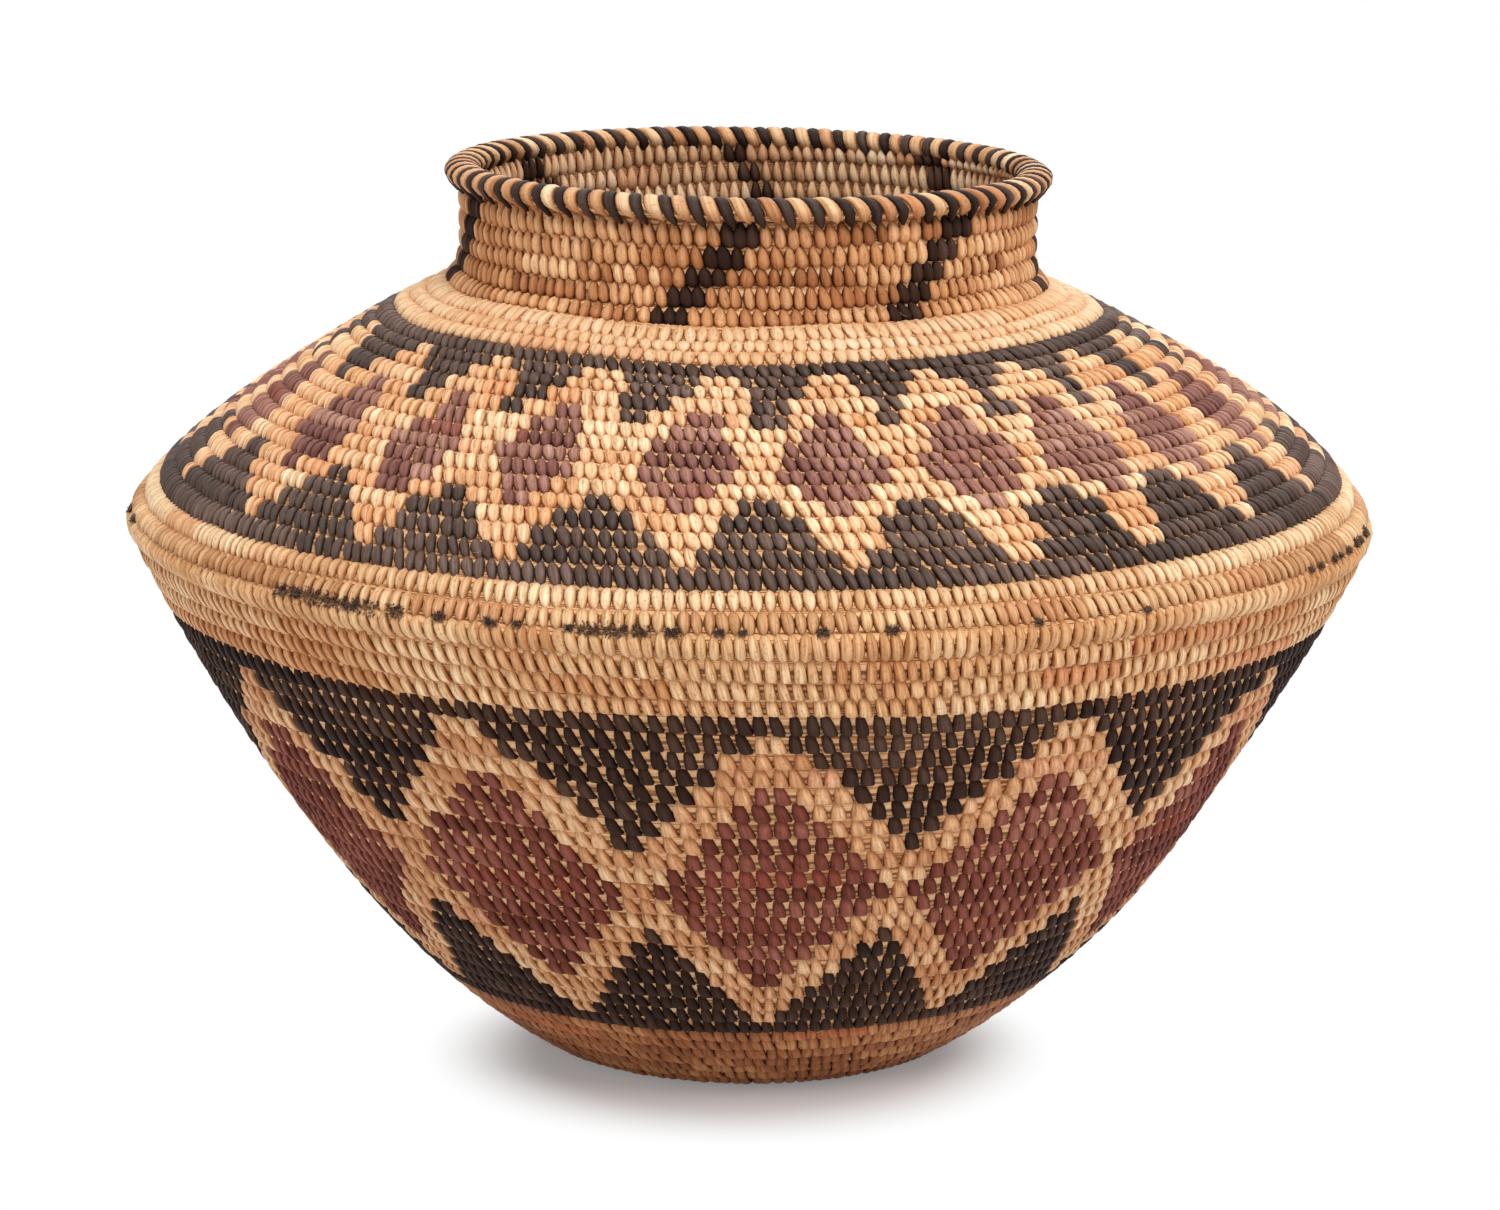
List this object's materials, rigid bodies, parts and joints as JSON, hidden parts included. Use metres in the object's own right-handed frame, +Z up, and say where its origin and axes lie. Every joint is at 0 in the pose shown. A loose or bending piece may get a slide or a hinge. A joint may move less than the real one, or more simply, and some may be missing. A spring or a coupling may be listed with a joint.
{
  "type": "bottleneck basket",
  "caption": "Coiled grass basket with a small flat base, a wide belly that closes at a ridge, a narrow neck and a whipped rim, patterned in dark and plum strips.",
  "frame": {"origin": "middle of the flat underside", "axes": "+Z up along the basket's axis, -Y towards the side that the picture shows"},
  "size_m": [0.3598, 0.3602, 0.2598],
  "materials": {
    "natural_palm": "matte",
    "shaded_palm": "matte",
    "pale_palm": "satin",
    "amber_palm": "matte",
    "plum_palm": "matte",
    "dark_palm": "matte",
    "straw": "matte"
  },
  "bodies": {
    "root": {"start_knot": "shaded_palm", "base_coil": "shaded_palm", "foot_coil": "shaded_palm", "lower_belly_coil": "dark_palm", "middle_belly_coil": "plum_palm", "upper_belly_coil": "dark_palm", "waist_coil": "natural_palm", "ridge_coil": "pale_palm", "lower_shoulder_coil": "plum_palm", "upper_shoulder_coil": "dark_palm", "collar_coil": "pale_palm", "neck_coil": "amber_palm", "rim_core": "straw", "rim_wrap_dark": "dark_palm", "rim_wrap_natural": "natural_palm"}
  },
  "joints": []
}
